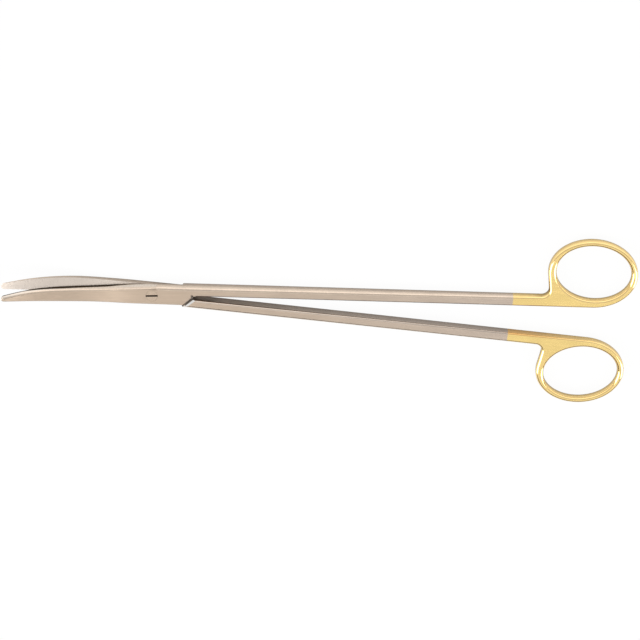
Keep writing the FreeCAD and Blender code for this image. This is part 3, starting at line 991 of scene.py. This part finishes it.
def half_finishes(side):
    """The finishes of a forging, in the order of the kinds of surface."""
    return [
        plated(side, "face"),
        plated(side, "side"),
        edge_finish(side + "_edge", side),
        plated(side, "flat"),
        shear_finish(side + "_shear", side, STEEL_SHEAR),
        shoulder_finish(side + "_shoulder", side),
        # the shoulder's wall: near-black painted shade of the gap at the lap's end
        shear_finish(side + "_wall", side, WALL_PAINTED_SHADE),
    ]


def insert_finishes(side):
    """The finishes of a carbide insert, in the same order."""
    edge = edge_finish(side + "_carbide_edge", side)
    flat = shear_finish(side + "_carbide_flat", side, CARBIDE_FLAT)
    return [flat, edge, edge, edge, flat, flat, flat]


SCREW_HOLES = {
    "front": [(SHOULDER_BORE, BORE_BOTTOM, HEAD_SEAT), (HEAD_BORE, HEAD_SEAT, BORE_TOP)],
    "rear": [(THREAD_BORE, BORE_BOTTOM, BORE_TOP)],
}
HALF_TURN = {"front": HALF_OPENING, "rear": -HALF_OPENING}

for side, bend in (("front", 1), ("rear", -1)):
    forged, insert = half_and_insert(side, bend)
    forged = with_holes(forged, SCREW_HOLES[side])
    for piece, finishes in ((forged, half_finishes(side)), (insert, insert_finishes(side))):
        mark_rise(piece, bend)
        set_in_frame(piece, bend)
        smooth(piece)
        for material in finishes:
            piece.data.materials.append(material)
    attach(forged, side)
    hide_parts(side + "_half")
    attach(insert, side)
    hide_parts(side + "_insert")

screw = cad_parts["pivot_screw"]
screw.data.materials.clear()
screw.data.materials.append(screw_finish())

# Camera
VIEW_TILT = math.radians(27.0)
VIEW_TURN = math.radians(3.88)
VIEW_DISTANCE = 0.750
PIVOT_PIXEL = (152.5, 292.8)
PIXEL = 0.407 * MM
IMAGE_SIZE = 640
SENSOR_WIDTH = 36.0

# Floor: half its side, its colour, how much of it glows as seen and as mirrored in the metal, and
# how far from the metal and how strongly its glow fades
FLOOR_REACH = 3.0
FLOOR_COLOUR = (0.9, 0.9, 0.9)
FLOOR_GLOW_SEEN = 0.95
FLOOR_GLOW_MIRRORED = 0.75
CONTACT_SAMPLES = 8
CONTACT_REACH = 0.016
CONTACT_DEPTH = 1.8

# Sky: levels by the angle in degrees about the scissors' length, from the side that faces the
# bottom of the view, over the top, to the other side
SKY_BANDS = (
    (-90, 0.1),
    (-56, 0.13),
    (-45, 0.78),
    (-5, 0.78),
    (10, 0.70),
    (44, 0.64),
    (60, 1.35),
    (90, 1.35),
)

# Lamps: place, size and brightness, and the point that they all face
LAMPS = {
    "key": ((0.07, -0.50, 0.98), (1.4, 0.6), 0.25),
    "left_side": ((-0.86, -0.40, 0.39), (1.6, 0.70), 4.0),
    "right_side": ((1.02, -0.38, 0.30), (1.6, 0.48), 4.0),
}
LAMP_TARGET = Vector((0.07, 0, 0))


def add_camera():
    """Camera at the photograph's viewing angle, with the pivot at its pixel there."""
    flat_up = Vector((0, math.cos(VIEW_TILT), -math.sin(VIEW_TILT)))
    back = Vector((0, math.sin(VIEW_TILT), math.cos(VIEW_TILT)))
    right = math.cos(VIEW_TURN) * Vector((1, 0, 0)) + math.sin(VIEW_TURN) * flat_up
    up = math.cos(VIEW_TURN) * flat_up - math.sin(VIEW_TURN) * Vector((1, 0, 0))
    middle = IMAGE_SIZE / 2
    place = back * VIEW_DISTANCE + Vector((0, 0, HALF_THICKNESS * MM))
    place -= right * (PIVOT_PIXEL[0] - middle) * PIXEL
    place += up * (PIVOT_PIXEL[1] - middle) * PIXEL
    data = bpy.data.cameras.new("camera")
    data.sensor_fit = "HORIZONTAL"
    data.sensor_width = SENSOR_WIDTH
    data.lens = SENSOR_WIDTH * VIEW_DISTANCE / (PIXEL * IMAGE_SIZE)
    data.clip_start = 0.01
    camera = bpy.data.objects.new("camera", data)
    turn = Matrix((right, up, back)).transposed().to_4x4()
    camera.matrix_world = Matrix.Translation(place) @ turn
    bpy.context.scene.collection.objects.link(camera)
    bpy.context.scene.camera = camera


def add_floor():
    """Plain white floor. Its shadow is faint in the view and fuller in what the metal reflects."""
    mesh = bpy.data.meshes.new("floor")
    corners = [(x * FLOOR_REACH, y * FLOOR_REACH, 0) for x, y in ((-1, -1), (1, -1), (1, 1), (-1, 1))]
    mesh.from_pydata(corners, [], [(0, 1, 2, 3)])
    floor = bpy.data.objects.new("floor", mesh)
    bpy.context.scene.collection.objects.link(floor)
    material = bpy.data.materials.new("floor_white")
    material.use_nodes = True
    nodes, links = material.node_tree.nodes, material.node_tree.links
    shader = nodes["Principled BSDF"]
    shader.inputs["Base Color"].default_value = (*FLOOR_COLOUR, 1)
    shader.inputs["Roughness"].default_value = 1.0
    shader.inputs["Specular IOR Level"].default_value = 0.0
    glow = nodes.new("ShaderNodeEmission")
    path = nodes.new("ShaderNodeLightPath")
    seen = nodes.new("ShaderNodeMath")
    seen.operation = "MULTIPLY"
    seen.inputs[1].default_value = FLOOR_GLOW_SEEN
    mirrored = nodes.new("ShaderNodeMath")
    mirrored.operation = "MULTIPLY_ADD"
    mirrored.inputs[1].default_value = FLOOR_GLOW_MIRRORED
    either = nodes.new("ShaderNodeMath")
    either.operation = "MAXIMUM"
    contact = nodes.new("ShaderNodeAmbientOcclusion")
    contact.samples = CONTACT_SAMPLES
    contact.inputs["Distance"].default_value = CONTACT_REACH
    darker = nodes.new("ShaderNodeMath")
    darker.operation = "POWER"
    darker.inputs[1].default_value = CONTACT_DEPTH
    level = nodes.new("ShaderNodeMath")
    level.operation = "MAXIMUM"
    links.new(contact.outputs["AO"], darker.inputs[0])
    links.new(darker.outputs[0], level.inputs[0])
    links.new(path.outputs["Is Camera Ray"], level.inputs[1])
    links.new(level.outputs[0], glow.inputs["Strength"])
    links.new(path.outputs["Is Camera Ray"], seen.inputs[0])
    links.new(path.outputs["Is Glossy Ray"], either.inputs[0])
    links.new(path.outputs["Is Transmission Ray"], either.inputs[1])
    links.new(either.outputs[0], mirrored.inputs[0])
    links.new(seen.outputs[0], mirrored.inputs[2])
    mix = nodes.new("ShaderNodeMixShader")
    links.new(mirrored.outputs[0], mix.inputs["Fac"])
    links.new(shader.outputs["BSDF"], mix.inputs[1])
    links.new(glow.outputs["Emission"], mix.inputs[2])
    links.new(mix.outputs["Shader"], nodes["Material Output"].inputs["Surface"])
    floor.data.materials.append(material)


def add_softbox(name, place, size, brightness):
    """Rectangular lamp that faces the scissors and looks this bright from there."""
    data = bpy.data.lights.new(name, "AREA")
    data.shape = "RECTANGLE"
    data.size, data.size_y = size
    data.energy = brightness * math.pi * size[0] * size[1]
    lamp = bpy.data.objects.new(name, data)
    away = (Vector(place) - LAMP_TARGET).normalized()
    across = Vector((0, 1, 0)).cross(away).normalized()
    turn = Matrix((across, away.cross(across), away)).transposed().to_4x4()
    lamp.matrix_world = Matrix.Translation(place) @ turn
    bpy.context.scene.collection.objects.link(lamp)


def add_world():
    """Studio sky, white to the eye, with its light set by the angle about the scissors' length."""
    world = bpy.data.worlds.new("studio")
    world.use_nodes = True
    nodes, links = world.node_tree.nodes, world.node_tree.links
    where = nodes.new("ShaderNodeTexCoord")
    split = nodes.new("ShaderNodeSeparateXYZ")
    across = nodes.new("ShaderNodeMath")
    across.operation = "ARCTAN2"
    spread = nodes.new("ShaderNodeMapRange")
    spread.inputs["From Min"].default_value = -math.pi / 2
    spread.inputs["From Max"].default_value = math.pi / 2
    ramp = nodes.new("ShaderNodeValToRGB")
    links.new(where.outputs["Generated"], split.inputs["Vector"])
    links.new(split.outputs["Y"], across.inputs[0])
    links.new(split.outputs["Z"], across.inputs[1])
    links.new(across.outputs[0], spread.inputs["Value"])
    links.new(spread.outputs["Result"], ramp.inputs["Fac"])
    for place, _ in SKY_BANDS[1:-1]:
        ramp.color_ramp.elements.new((place + 90) / 180)
    for element, (place, level) in zip(ramp.color_ramp.elements, SKY_BANDS):
        element.position = (place + 90) / 180
        element.color = (level, level, level, 1)
    path = nodes.new("ShaderNodeLightPath")
    shown = nodes.new("ShaderNodeVectorMath")
    shown.operation = "MAXIMUM"
    links.new(ramp.outputs["Color"], shown.inputs[0])
    links.new(path.outputs["Is Camera Ray"], shown.inputs[1])
    links.new(shown.outputs["Vector"], nodes["Background"].inputs["Color"])
    bpy.context.scene.world = world


add_camera()
add_floor()
add_world()
for name, lamp in LAMPS.items():
    add_softbox(name, *lamp)

bpy.context.scene.view_settings.view_transform = "Standard"
